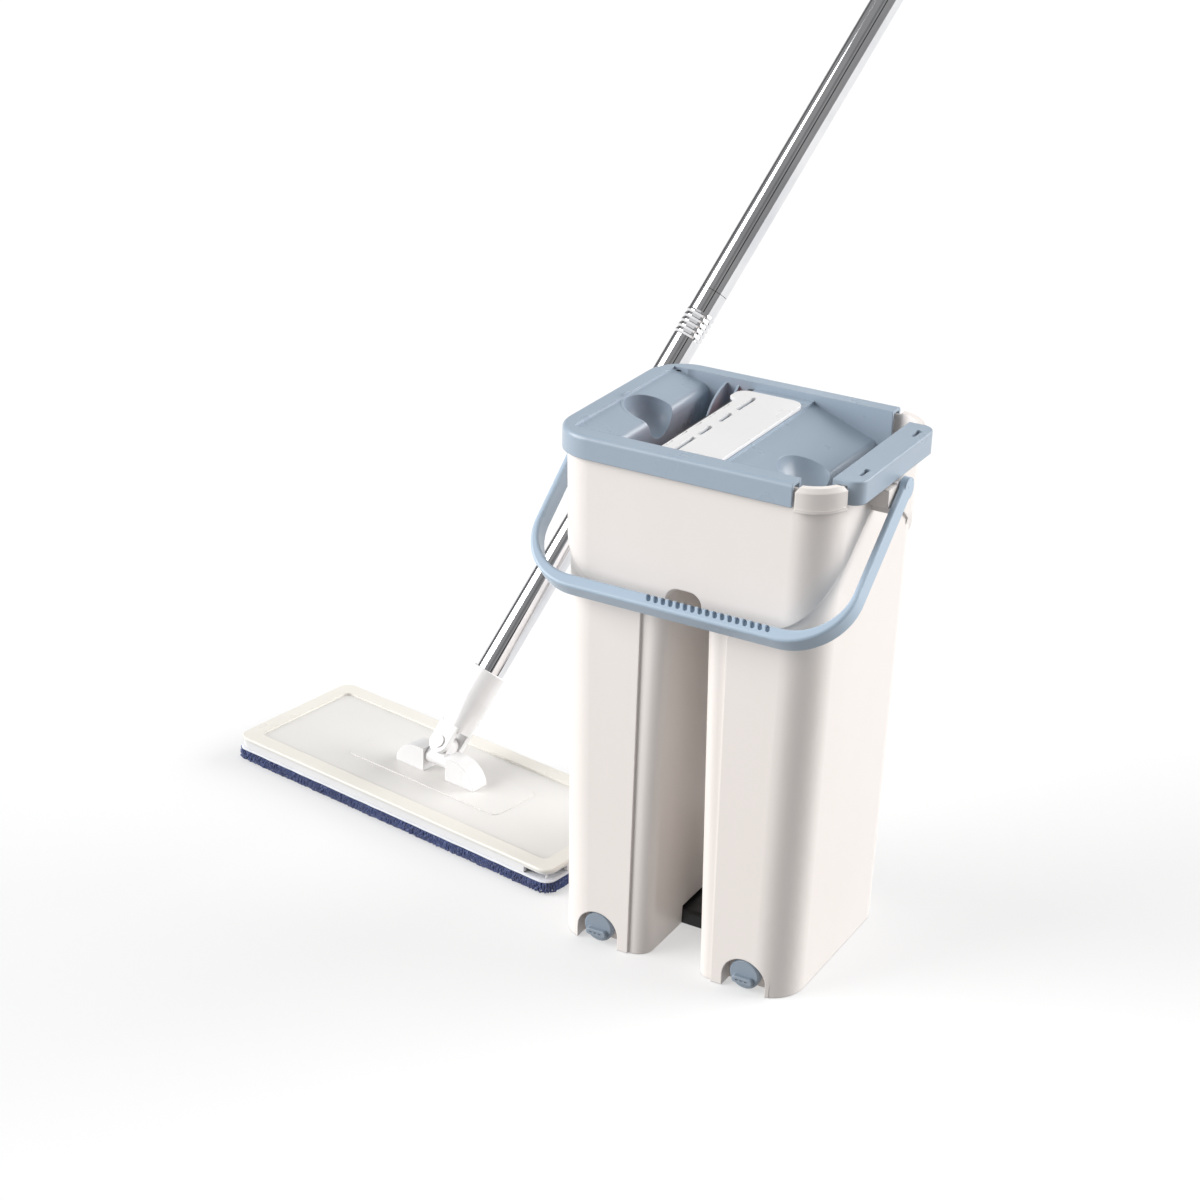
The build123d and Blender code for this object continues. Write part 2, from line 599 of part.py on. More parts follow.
finish(lid_tray, "lid_tray")

# ---------------------------------------------------------------- side bar

with BuildPart() as side_bar:
    with BuildSketch(Plane.XY.offset(SKIRT_Z)):
        with Locations(((BAR_IN + BAR_OUT) / 2, 0)):
            Rectangle(BAR_OUT - BAR_IN, 2 * BAR_HALF)
        fillet(vertices().group_by(Axis.X)[-1], 9)
    extrude(amount=TRAY_TOP - SKIRT_Z)
    fillet(faces().sort_by(Axis.Z)[-1].edges(), 1)
    with BuildSketch(Plane.XY.offset(SKIRT_Z)):
        with Locations(((BAR_IN + BAR_OUT) / 2, 0)):
            Rectangle(BAR_OUT - BAR_IN - 2 * TRAY_WALL, 2 * BAR_HALF - 2 * TRAY_WALL)
        fillet(vertices().group_by(Axis.X)[-1], 7)
    extrude(amount=TRAY_TOP - SKIRT_Z - TRAY_WALL, mode=Mode.SUBTRACT)
    # The wall of the shell passes through both ends
    with BuildSketch(Plane.XY.offset(SKIRT_Z - 1)):
        with Locations((half_top_w - WALL / 2 - 0.9, 0)):
            Rectangle(WALL + 3, 2 * BAR_HALF + 2)
    extrude(amount=RIM_TOP - SKIRT_Z + 1.5, mode=Mode.SUBTRACT)
    # Two keyhole slots in the top
    with BuildSketch(Plane.XY.offset(TRAY_TOP - 5)):
        with Locations(((BAR_IN + BAR_OUT) / 2 + 3, -40), ((BAR_IN + BAR_OUT) / 2 + 3, 40)):
            SlotOverall(12, 2.6, rotation=90)
        with Locations(((BAR_IN + BAR_OUT) / 2 + 3, -35.5), ((BAR_IN + BAR_OUT) / 2 + 3, 44.5)):
            Circle(2.2)
    extrude(amount=10, mode=Mode.SUBTRACT)
    # Small slot in the front end
    with BuildSketch(Plane.XZ.offset(BAR_HALF - 4)):
        with Locations((BAR_IN + 4.5, TRAY_TOP - 5)):
            Rectangle(4.5, 2.6)
    extrude(amount=6, mode=Mode.SUBTRACT)
    # Ribs that grip the wall on both sides
    inner_end = half_top_w - WALL - 0.8
    outer_end = half_top_w + 0.2
    with BuildSketch(Plane.XY.offset(SKIRT_Z + 1)):
        with GridLocations(0, 30, 1, 3):
            with Locations((inner_end, 0)):
                Rectangle(inner_end - BAR_IN - 1, 2, align=(Align.MAX, Align.CENTER))
            with Locations((outer_end, 0)):
                Rectangle(BAR_OUT - 1 - outer_end, 2, align=(Align.MIN, Align.CENTER))
    extrude(amount=TRAY_TOP - SKIRT_Z - 2)
finish(side_bar, "side_bar")

# ---------------------------------------------------------------- wringer

PLATE_FRONT = -rim_front + 0.5
with BuildPart() as wringer_plate:
    with BuildSketch(Plane.XY.offset(365.8)):
        with BuildLine():
            Polyline(
                (SLOT_RIGHT, PLATE_FRONT), (LEDGE_RIGHT, PLATE_FRONT), (LEDGE_RIGHT, 57),
                (SLOT_RIGHT - 6, 57), (SLOT_RIGHT - 6, 42), (SLOT_RIGHT, 36), close=True,
            )
        make_face()
        fillet(vertices().sort_by_distance((LEDGE_RIGHT, 57))[0], 10)
        fillet(vertices().sort_by_distance((SLOT_RIGHT - 6, 57))[0], 9)
        fillet(vertices().sort_by_distance((SLOT_RIGHT - 6, 42))[0], 3)
        with Locations((-16.5, -52.5), (-16.5, 33)):
            SlotOverall(27, 3.6, rotation=90, mode=Mode.SUBTRACT)
        with Locations((-16.5, -25), (-16.5, 3)):
            SlotOverall(18, 3.6, rotation=90, mode=Mode.SUBTRACT)
    extrude(amount=2.4)
    fillet(faces().sort_by(Axis.Z)[-1].outer_wire().edges(), 0.7)
    with Locations(*[(x, y, 365) for x, y in WRINGER_SCREWS]):
        Cylinder(1.3, 2.3, align=(Align.CENTER, Align.CENTER, Align.MIN), mode=Mode.SUBTRACT)
    with BuildSketch(Plane.XY.offset(367.6)):
        with Locations((SLOT_RIGHT + 1.8, -18)):
            with GridLocations(0, 19.5, 1, 5):
                Rectangle(1.0, 9)
    extrude(amount=2, mode=Mode.SUBTRACT)
finish(wringer_plate, "wringer_plate")

with BuildPart() as wringer_carrier:
    with BuildSketch(Plane.XZ.offset(-rim_front + 2)):
        with BuildLine():
            Polyline(
                (SLOT_RIGHT - 0.3, 365.5), (SLOT_RIGHT - 4, 365.5), (SLOT_RIGHT - 4, 362.6),
                (SLOT_RIGHT - 2.4, 362.6), (SLOT_RIGHT - 2.4, 338), (SLOT_RIGHT - 0.3, 338), close=True,
            )
        make_face()
    extrude(amount=2 * rim_front - 30)
finish(wringer_carrier, "wringer_carrier")

with BuildPart() as wringer_lip:
    with BuildSketch(Plane.XZ.offset(-rim_front + 2)):
        with BuildLine():
            Polyline(
                (SLOT_RIGHT - 2.5, 362.4), (SLOT_RIGHT - 5, 362.4), (SLOT_RIGHT - 7.5, 352),
                (SLOT_RIGHT - 6, 351.5), (SLOT_RIGHT - 2.5, 357), close=True,
            )
        make_face()
    extrude(amount=2 * rim_front - 30)
finish(wringer_lip, "wringer_lip")

# ---------------------------------------------------------------- washing scraper and screws

with BuildPart() as wash_scraper:
    with BuildSketch(Plane.XZ.offset(-56)):
        with BuildLine():
            Polyline(
                (SLOPE_RIGHT + 0.2, TRAY_UNDER), (SLOPE_RIGHT + 2.4, TRAY_UNDER), (SLOPE_RIGHT + 2.4, 338),
                (SLOPE_RIGHT + 0.2, 338), close=True,
            )
        make_face()
    extrude(amount=112)
    with BuildSketch(Plane.YZ.offset(SLOPE_RIGHT + 2.2)):
        with Locations((0, TRAY_UNDER + 3)):
            with GridLocations(8, 0, 14, 1):
                Rectangle(2.4, 5)
    extrude(amount=3)
finish(wash_scraper, "wash_scraper")

with BuildPart() as wringer_screws:
    for x, y in WRINGER_SCREWS:
        with Locations((x, y, 358.4)):
            Cylinder(2.8, 2.2, align=(Align.CENTER, Align.CENTER, Align.MIN))
            Cylinder(1.3, 8.8, align=(Align.CENTER, Align.CENTER, Align.MIN))
finish(wringer_screws, "wringer_screws")

# ---------------------------------------------------------------- mop pole

with BuildPart() as pole_sleeve:
    # Socket for the tube, flaring up from the fork
    with BuildSketch(POLE.offset(13)):
        RectangleRounded(21, 22.4, 7)
    with BuildSketch(POLE.offset(40)):
        Circle(13.2)
    loft()
    with BuildSketch(POLE.offset(40)):
        Circle(13.2)
    extrude(amount=SLEEVE_END - 40)
    fillet(edges().filter_by(GeomType.CIRCLE).sort_by(SortBy.DISTANCE, reverse=True)[0], 0.8)
    # Fork ears on both sides of the yoke's tongue
    for ear in (-11.2, 6.3):
        with BuildSketch(facing_back(POLE, ear)):
            Circle(8.5)
            with Locations((0, -8)):
                Rectangle(17, 16)
        extrude(amount=4.9)
    with BuildSketch(POLE.offset(40)):
        Circle(TUBE_R + 0.02)
    extrude(amount=SLEEVE_END, mode=Mode.SUBTRACT)
    with BuildSketch(facing_back(POLE, 0)):
        Circle(FORK_PIN_R)
    extrude(amount=20, both=True, mode=Mode.SUBTRACT)
    # Window for the latch at the back, and its spring well
    with BuildSketch(facing_back(POLE, 3)):
        with Locations((0, -29)):
            RectangleRounded(10.4, 14.4, 2.2)
    extrude(amount=20, mode=Mode.SUBTRACT)
finish(pole_sleeve, "pole_sleeve")

with BuildPart() as latch_button:
    with BuildSketch(facing_back(POLE, 9)):
        with Locations((0, -29)):
            RectangleRounded(10, 14, 2)
    extrude(amount=7.5)
    fillet(faces().sort_by(Axis.Y)[-1].edges(), 1.2)
finish(latch_button, "latch_button")

with BuildPart() as latch_spring:
    with BuildSketch(facing_back(POLE, 3.1)):
        with Locations((0, -29)):
            Circle(3.4)
            Circle(2.6, mode=Mode.SUBTRACT)
    extrude(amount=5.8)
finish(latch_spring, "latch_spring")

with BuildPart() as fork_pin:
    with BuildSketch(facing_back(POLE, -11.2)):
        Circle(FORK_PIN_R)
    extrude(amount=22.4)
    with BuildSketch(facing_back(POLE, -12.3)):
        Circle(5)
    extrude(amount=1.1)
finish(fork_pin, "fork_pin")


def tube(start, end):
    """Thin chrome tube along the pole, open at both ends."""
    with BuildPart() as piece:
        with BuildSketch(POLE.offset(start)):
            Circle(TUBE_R)
            Circle(TUBE_R - TUBE_WALL, mode=Mode.SUBTRACT)
        extrude(amount=end - start)
    return piece


def rolled_tube(start, end, first_ridge):
    """Chrome tube with five rolled thread ridges and a slightly swaged end."""
    groove = 2.2
    with BuildPart() as piece:
        with BuildSketch(facing_back(POLE, 0)):
            with BuildLine():
                Polyline(
                    (TUBE_R - TUBE_WALL, -start), (TUBE_R, -start), (TUBE_R, -first_ridge),
                    *[
                        point
                        for ridge in range(5)
                        for point in (
                            (TUBE_R - 0.5, -first_ridge - 2 * groove * ridge - 0.3 * groove),
                            (TUBE_R + 0.5, -first_ridge - 2 * groove * ridge - groove),
                            (TUBE_R + 0.5, -first_ridge - 2 * groove * ridge - 1.3 * groove),
                        )
                    ],
                    (TUBE_R, -first_ridge - 10 * groove), (TUBE_R, -end), (TUBE_R - TUBE_WALL, -end),
                    (TUBE_R - TUBE_WALL, -first_ridge - 10 * groove),
                    (TUBE_R - 1.3, -first_ridge - 9.5 * groove),
                    (TUBE_R - 1.3, -first_ridge - 0.5 * groove), (TUBE_R - TUBE_WALL, -first_ridge),
                    close=True,
                )
            make_face()
        revolve(axis=Axis(POLE.origin, POLE.z_dir))
    return piece


def joiner(middle):
    """Threaded plastic core inside the meeting ends of two tubes."""
    with BuildPart() as piece:
        with BuildSketch(POLE.offset(middle - 42)):
            Circle(TUBE_R - 1.4)
            Circle(4, mode=Mode.SUBTRACT)
        extrude(amount=84)
    return piece


lower_tube = rolled_tube(41, SEAM_LOW, 356)
finish(lower_tube, "lower_tube")
middle_tube = rolled_tube(SEAM_LOW + 0.4, SEAM_HIGH, SEAM_HIGH - 40)
finish(middle_tube, "middle_tube")
upper_tube = tube(SEAM_HIGH + 0.4, TUBE_END)
finish(upper_tube, "upper_tube")
lower_joiner = joiner(SEAM_LOW)
finish(lower_joiner, "lower_joiner")
upper_joiner = joiner(SEAM_HIGH)
finish(upper_joiner, "upper_joiner")

with BuildPart() as top_grip:
    with BuildSketch(POLE.offset(TUBE_END - 28)):
        Circle(13)
    extrude(amount=POLE_END - TUBE_END + 4)
    with BuildSketch(POLE.offset(POLE_END - 24)):
        Circle(13)
    with BuildSketch(POLE.offset(POLE_END)):
        SlotOverall(20, 12)
    loft()
    with BuildSketch(POLE.offset(TUBE_END - 29)):
        Circle(TUBE_R + 0.02)
    extrude(amount=29.4, mode=Mode.SUBTRACT)
    # Flats on both sides of the hanging hole
    for side in (1, -1):
        with BuildSketch(facing_back(POLE, side * 6)):
            with Locations((0, -POLE_END + 9)):
                Rectangle(30, 26)
        extrude(amount=side * 20, mode=Mode.SUBTRACT)
    with BuildSketch(facing_back(POLE, -20)):
        with Locations((0, -POLE_END + 12)):
            Circle(HANG_HOLE_R)
    extrude(amount=40, mode=Mode.SUBTRACT)
finish(top_grip, "top_grip")

# ---------------------------------------------------------------- yoke

with BuildPart() as yoke:
    with BuildSketch(across(YOKE, -10.5)):
        Circle(6)
    extrude(amount=21)
    with BuildSketch(facing_back(YOKE, -6)):
        with Locations((0, -PIN_RISE)):
            Circle(7)
        with Locations((0, -PIN_RISE / 2)):
            Rectangle(14, PIN_RISE)
    extrude(amount=12)
    with BuildSketch(across(YOKE, -11)):
        Circle(AXLE_R + PIN_CLEARANCE)
    extrude(amount=22, mode=Mode.SUBTRACT)
    with BuildSketch(facing_back(YOKE, -7)):
        with Locations((0, -PIN_RISE)):
            Circle(FORK_PIN_R + PIN_CLEARANCE)
    extrude(amount=14, mode=Mode.SUBTRACT)
finish(yoke, "yoke")

# ---------------------------------------------------------------- mop head

head_bottom = PAD_THICK + 2 - AXLE_Z
head_top = HEAD_TOP - AXLE_Z
RIM_BAND = 12.0

with BuildPart() as plate_base:
    with BuildSketch(HEAD.offset(head_bottom)):
        RectangleRounded(HEAD_LENGTH, HEAD_WIDTH, 9)
    extrude(amount=head_top - 2.4 - head_bottom)
    with BuildSketch(HEAD.offset(head_bottom)):
        RectangleRounded(HEAD_LENGTH - 6, HEAD_WIDTH - 6, 7)
    extrude(amount=2.4, mode=Mode.SUBTRACT)
    # Two ears that carry the long axle
    for side in (1, -1):
        with BuildSketch(facing_back(HEAD, -7.5)):
            with BuildLine():
                Line((side * 11, -head_top + 3), (side * 39, -head_top + 3))
                Line((side * 39, -head_top + 3), (side * 39, -head_top - 2))
                ThreePointArc((side * 39, -head_top - 2), (side * 33, -1), (side * 19, -EAR_RISE))
                Line((side * 19, -EAR_RISE), (side * 11, -EAR_RISE))
                Line((side * 11, -EAR_RISE), (side * 11, -head_top + 3))
            make_face()
        extrude(amount=15)
    with BuildSketch(across(HEAD, -AXLE_HALF - 0.3)):
        Circle(AXLE_R + 0.02)
    extrude(amount=2 * AXLE_HALF + 0.6, mode=Mode.SUBTRACT)
    # Notches at the right-hand corners, where the pad's pockets show
    with BuildSketch(HEAD.offset(head_bottom - 1)):
        for side in (1, -1):
            with Locations((HEAD_LENGTH / 2, side * HEAD_WIDTH / 2)):
                Rectangle(2 * NOTCH_LENGTH, 2 * NOTCH_DEPTH)
                Rectangle(2 * NOTCH_DEPTH, 2 * NOTCH_LENGTH)
    extrude(amount=NOTCH_HEIGHT + 1, mode=Mode.SUBTRACT)
finish(plate_base, "plate_base")

with BuildPart() as plate_rim:
    with BuildSketch(HEAD.offset(head_top - 2.4)):
        RectangleRounded(HEAD_LENGTH + 2, HEAD_WIDTH + 2, 10)
        RectangleRounded(HEAD_LENGTH - 2 * RIM_BAND, HEAD_WIDTH - 2 * RIM_BAND, 5, mode=Mode.SUBTRACT)
    extrude(amount=2.4)
    fillet(faces().sort_by(Axis.Z)[-1].outer_wire().edges(), 1.2)
finish(plate_rim, "plate_rim")

with BuildPart() as plate_panel:
    with BuildSketch(HEAD.offset(head_top - 2.4)):
        RectangleRounded(HEAD_LENGTH - 2 * RIM_BAND - 0.2, HEAD_WIDTH - 2 * RIM_BAND - 0.2, 4.9)
        for side in (1, -1):
            with Locations((side * 25, 0)):
                Rectangle(28.6, 15.6, mode=Mode.SUBTRACT)
    extrude(amount=0.7)
    with BuildSketch(HEAD.offset(head_top - 1.8)):
        RectangleRounded(150, 46, 5)
        for side in (1, -1):
            with Locations((side * 25, 0)):
                Rectangle(28.6, 15.6, mode=Mode.SUBTRACT)
    extrude(amount=0.8)
finish(plate_panel, "plate_panel")

with BuildPart() as axle_pin:
    with BuildSketch(across(HEAD, -AXLE_HALF)):
        Circle(AXLE_R)
    extrude(amount=2 * AXLE_HALF)
finish(axle_pin, "axle_pin")

with BuildPart() as hook_strips:
    with BuildSketch(HEAD.offset(head_bottom)):
        with GridLocations(0, 62, 1, 2):
            RectangleRounded(270, 26, 3)
    extrude(amount=2.4)
finish(hook_strips, "hook_strips")

with BuildPart() as pad_backing:
    with BuildSketch(HEAD.offset(head_bottom - 2)):
        RectangleRounded(PAD_LENGTH - 3, PAD_WIDTH - 3, 9)
    extrude(amount=1.95)
finish(pad_backing, "pad_backing")

with BuildPart() as mop_pad:
    with BuildSketch(HEAD.offset(-AXLE_Z)):
        RectangleRounded(PAD_LENGTH, PAD_WIDTH, 10)
    extrude(amount=PAD_THICK)
finish(mop_pad, "mop_pad")
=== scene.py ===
"""Looks for the flat squeeze mop and its two-chamber bucket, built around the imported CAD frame.

Metres, +X to the right along the bucket's front, +Y to the back, +Z up. The origin is on the floor
under the bucket.
"""

import json
import math
import random

import bpy
from mathutils import Matrix, Vector, noise


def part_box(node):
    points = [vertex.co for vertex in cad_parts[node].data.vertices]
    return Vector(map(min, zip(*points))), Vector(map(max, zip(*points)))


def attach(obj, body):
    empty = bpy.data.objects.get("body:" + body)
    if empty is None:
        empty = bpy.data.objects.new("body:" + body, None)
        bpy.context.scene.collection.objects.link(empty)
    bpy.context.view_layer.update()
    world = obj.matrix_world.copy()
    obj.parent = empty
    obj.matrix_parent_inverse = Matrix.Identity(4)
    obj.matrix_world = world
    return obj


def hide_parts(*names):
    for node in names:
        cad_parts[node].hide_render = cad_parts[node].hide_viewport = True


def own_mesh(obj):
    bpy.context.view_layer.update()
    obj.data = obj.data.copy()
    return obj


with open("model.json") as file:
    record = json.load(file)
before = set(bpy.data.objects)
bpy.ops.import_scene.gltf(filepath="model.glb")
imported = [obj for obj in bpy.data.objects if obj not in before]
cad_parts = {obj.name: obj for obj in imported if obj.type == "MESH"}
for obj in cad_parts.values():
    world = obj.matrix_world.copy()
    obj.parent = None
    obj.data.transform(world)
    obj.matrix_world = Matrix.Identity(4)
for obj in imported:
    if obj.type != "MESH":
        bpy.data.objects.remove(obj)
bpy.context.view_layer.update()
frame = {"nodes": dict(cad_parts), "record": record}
nodes = frame["nodes"]

# ---------------------------------------------------------------- camera at the photograph's angle
CAMERA_PLACE = Vector((0.65966, -1.37543, 0.93924))
CAMERA_AZIMUTH = math.radians(29.01168)  # from straight ahead, towards the bucket's right
CAMERA_ELEVATION = math.radians(24.62902)
CAMERA_ROLL = math.radians(1.65028)
SENSOR_MM = 36.0
LENS_MM = 76.06

camera = bpy.data.objects.new("camera", bpy.data.cameras.new("camera"))
bpy.context.scene.collection.objects.link(camera)
camera.data.sensor_width = SENSOR_MM
camera.data.lens = LENS_MM
camera.data.clip_end = 60.0
camera.matrix_world = (
    Matrix.Translation(CAMERA_PLACE)
    @ Matrix.Rotation(CAMERA_AZIMUTH, 4, "Z")
    @ Matrix.Rotation(math.pi / 2 - CAMERA_ELEVATION, 4, "X")
    @ Matrix.Rotation(CAMERA_ROLL, 4, "Z")
)
bpy.context.scene.camera = camera
bpy.context.scene.view_settings.view_transform = "Standard"

# ---------------------------------------------------------------- the mop's place, as the CAD has it
YAW = math.radians(-9.34)
pad_low, pad_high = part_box("mop_pad")
HEAD_CENTRE = Vector(((pad_low.x + pad_high.x) / 2, (pad_low.y + pad_high.y) / 2, 0))
HEAD = Matrix.Translation(HEAD_CENTRE) @ Matrix.Rotation(YAW, 4, "Z")
POLE_AXIS = Vector((0.24613, 0.55383, 0.79542))


# ---------------------------------------------------------------- small helpers
def srgb(*rgb):
    """A colour given as 0-255 screen values, as linear values with alpha."""
    linear = [c / 255 / 12.92 if c < 11 else ((c / 255 + 0.055) / 1.055) ** 2.4 for c in rgb]
    return (*linear, 1.0)


def new_object(name, vertices, faces):
    """A smooth-shaded mesh object from lists of points and faces, in the frame's own coordinates."""
    mesh = bpy.data.meshes.new(name)
    mesh.from_pydata([tuple(v) for v in vertices], [], faces)
    mesh.validate()
    mesh.update()
    mesh.polygons.foreach_set("use_smooth", [True] * len(mesh.polygons))
    made = bpy.data.objects.new(name, mesh)
    bpy.context.scene.collection.objects.link(made)
    return made


def child_of(piece, parent):
    """The piece goes wherever its parent goes."""
    bpy.context.view_layer.update()
    piece.parent = parent
    piece.matrix_parent_inverse = parent.matrix_world.inverted()


# ---------------------------------------------------------------- materials
class Nodes:
    """A material's node tree, with short calls for the nodes used here."""

    def __init__(self, name):
        self.material = bpy.data.materials.new(name)
        self.material.use_nodes = True
        self.tree = self.material.node_tree
        self.tree.nodes.clear()
        self.output = self.add("OutputMaterial")
        self.shader = self.add("BsdfPrincipled")
        self.link(self.shader.outputs["BSDF"], self.output.inputs["Surface"])
        self.object_coords = self.add("TexCoord").outputs["Object"]

    def add(self, kind, **values):
        node = self.tree.nodes.new("ShaderNode" + kind)
        for key, value in values.items():
            setattr(node, key, value)
        return node

    def link(self, a, b):
        self.tree.links.new(a, b)

    def set(self, **values):
        for key, value in values.items():
            self.shader.inputs[key.replace("_", " ")].default_value = value

    def stretched(self, scale, rotation=(0, 0, 0)):
        """Object coordinates, turned, then scaled along each axis."""
        mapping = self.add("Mapping")
        mapping.inputs["Scale"].default_value = scale
        mapping.inputs["Rotation"].default_value = rotation
        self.link(self.object_coords, mapping.inputs["Vector"])
        return mapping.outputs["Vector"]

    def noise(self, scale, detail=3.0, vector=None, rough=0.5):
        node = self.add("TexNoise")
        node.inputs["Scale"].default_value = scale
        node.inputs["Detail"].default_value = detail
        node.inputs["Roughness"].default_value = rough
        self.link(vector or self.object_coords, node.inputs["Vector"])
        return node.outputs["Fac"]

    def span(self, value, low, high, from_low=0.0, from_high=1.0):
        """A value mapped from one range to another."""
        node = self.add("MapRange")
        node.inputs["From Min"].default_value = from_low
        node.inputs["From Max"].default_value = from_high
        node.inputs["To Min"].default_value = low
        node.inputs["To Max"].default_value = high
        self.link(value, node.inputs["Value"])
        return node.outputs["Result"]

    def blend(self, value, a, b):
        """A colour between a and b, each a colour or a socket."""
        node = self.add("Mix", data_type="RGBA")
        self.link(value, node.inputs["Factor"])
        for name, colour in (("A", a), ("B", b)):
            socket = [s for s in node.inputs if s.name == name and s.type == "RGBA"][0]
            if isinstance(colour, tuple):
                socket.default_value = colour
            else:
                self.link(colour, socket)
        return [s for s in node.outputs if s.type == "RGBA"][0]

    def math(self, operation, a, b):
        node = self.add("Math", operation=operation)
        for socket, value in zip(node.inputs, (a, b)):
            if isinstance(value, (int, float)):
                socket.default_value = value
            else:
                self.link(value, socket)
        return node.outputs["Value"]

    def bump(self, height, strength, distance, normal=None):
        node = self.add("Bump")
        node.inputs["Strength"].default_value = strength
        node.inputs["Distance"].default_value = distance
        self.link(height, node.inputs["Height"])
        if normal:
            self.link(normal, node.inputs["Normal"])
        return node.outputs["Normal"]

    def rounded(self, radius):
        """The surface normal as if every edge were rounded."""
        bevel = self.add("Bevel", samples=4)
        bevel.inputs["Radius"].default_value = radius
        return bevel.outputs["Normal"]

    def edge_mask(self, rounded_normal):
        """1 where the rounded normal leaves the true one, which is on the edges, and 0 on the flats."""
        dot = self.add("VectorMath", operation="DOT_PRODUCT")
        self.link(rounded_normal, dot.inputs[0])
        self.link(self.add("NewGeometry").outputs["Normal"], dot.inputs[1])
        return self.span(dot.outputs["Value"], 1.0, 0.0, 0.80, 0.995)


def plastic(name, colour, shade, worn, rough, grain, edge, grain_scale=2600.0):
    """Moulded plastic: faint flow marks, fine spark-eroded grain, rounded edges that are a little worn."""
    m = Nodes(name)
    normal = m.rounded(edge)
    edges = m.edge_mask(normal)
    flow = m.noise(9.0, 4.0, m.stretched((1.0, 1.0, 0.35)))
    tone = m.blend(m.span(flow, 0.0, 1.0, 0.3, 0.7), colour, shade)
    wear = m.math("MULTIPLY", edges, m.span(m.noise(60.0, 5.0), 0.0, 0.45, 0.42, 0.66))
    m.link(m.blend(wear, tone, worn), m.shader.inputs["Base Color"])
    m.link(m.span(m.noise(28.0, 5.0), rough[0], rough[1], 0.3, 0.7), m.shader.inputs["Roughness"])
    fine = m.noise(grain_scale, 2.0)
    m.link(m.bump(fine, grain, 0.00012, normal), m.shader.inputs["Normal"])
    m.set(IOR=1.5)
    return m.material


def chrome(name):
    """Plated steel tube: polished, with fine draw lines along it and a few hazy smears."""
    m = Nodes(name)
    turn = POLE_AXIS.to_track_quat("Z", "Y").inverted().to_euler()
    along = m.stretched((1.0, 1.0, 0.012), tuple(turn))
    lines = m.noise(1500.0, 3.0, along)
    haze = m.noise(22.0, 5.0)
    m.link(m.blend(m.span(haze, 0.0, 1.0, 0.35, 0.7), srgb(232, 232, 234), srgb(214, 215, 219)),
           m.shader.inputs["Base Color"])
    m.link(m.span(haze, 0.03, 0.10, 0.4, 0.75), m.shader.inputs["Roughness"])
    m.link(m.bump(lines, 0.02, 0.00005), m.shader.inputs["Normal"])
    m.set(Metallic=1.0)
    return m.material


def steel(name):
    """Turned stainless steel: satin, with fine marks."""
    m = Nodes(name)
    marks = m.noise(900.0, 4.0, m.stretched((1.0, 0.1, 1.0)))
    m.link(m.blend(marks, srgb(196, 197, 200), srgb(160, 162, 166)), m.shader.inputs["Base Color"])
    m.link(m.span(marks, 0.22, 0.42), m.shader.inputs["Roughness"])
    m.link(m.bump(marks, 0.08, 0.0001), m.shader.inputs["Normal"])
    m.set(Metallic=1.0)
    return m.material


def rubber(name, colour, shade):
    """Soft rubber: matt, pitted, and dusty in places."""
    m = Nodes(name)
    normal = m.rounded(0.0008)
    dust = m.noise(40.0, 6.0)
    m.link(m.blend(m.span(dust, 0.0, 1.0, 0.45, 0.75), colour, shade), m.shader.inputs["Base Color"])
    m.link(m.span(dust, 0.45, 0.65, 0.3, 0.7), m.shader.inputs["Roughness"])
    m.link(m.bump(m.noise(1700.0, 3.0), 0.25, 0.0002, normal), m.shader.inputs["Normal"])
    return m.material


def cloth(name, dark, light, streak, pitch, sheen):
    """Yarn: fibres of several tones twisted along the strand, with a soft sheen."""
    m = Nodes(name)
    fibres = m.noise(pitch, 5.0, m.stretched((1.0, 1.0, 0.35)), 0.65)
    patches = m.noise(85.0, 4.0)
    tone = m.blend(m.span(patches, 0.0, 1.0, 0.3, 0.7), dark, light)
    m.link(m.blend(m.span(fibres, 0.0, 1.0, 0.52, 0.72), tone, streak), m.shader.inputs["Base Color"])
    m.link(m.bump(fibres, 0.7, 0.0004), m.shader.inputs["Normal"])
    m.set(Roughness=0.92, Sheen_Weight=sheen, Sheen_Roughness=0.5)
    return m.material


def hook_tape(name):
    """Hook tape: rows of small stiff hooks."""
    m = Nodes(name)
    cells = m.add("TexVoronoi", feature="F1")
    cells.inputs["Scale"].default_value = 700.0
    m.link(m.object_coords, cells.inputs["Vector"])
    height = cells.outputs["Distance"]
    m.link(m.blend(height, srgb(226, 226, 222), srgb(168, 168, 164)), m.shader.inputs["Base Color"])
    m.link(m.bump(height, 0.9, 0.0008), m.shader.inputs["Normal"])
    m.set(Roughness=0.7)
    return m.material


def pedal_material(name):
    """Black textured pedal, a little scuffed."""
    m = Nodes(name)
    normal = m.rounded(0.0010)
    scuff = m.noise(120.0, 6.0, m.stretched((1.0, 0.25, 1.0)), 0.7)
    m.link(m.blend(m.span(scuff, 0.0, 1.0, 0.55, 0.8), srgb(24, 24, 26), srgb(62, 61, 62)),
           m.shader.inputs["Base Color"])
    m.link(m.span(scuff, 0.30, 0.55, 0.3, 0.8), m.shader.inputs["Roughness"])
    m.link(m.bump(m.noise(1300.0, 3.0), 0.3, 0.0002, normal), m.shader.inputs["Normal"])
    return m.material


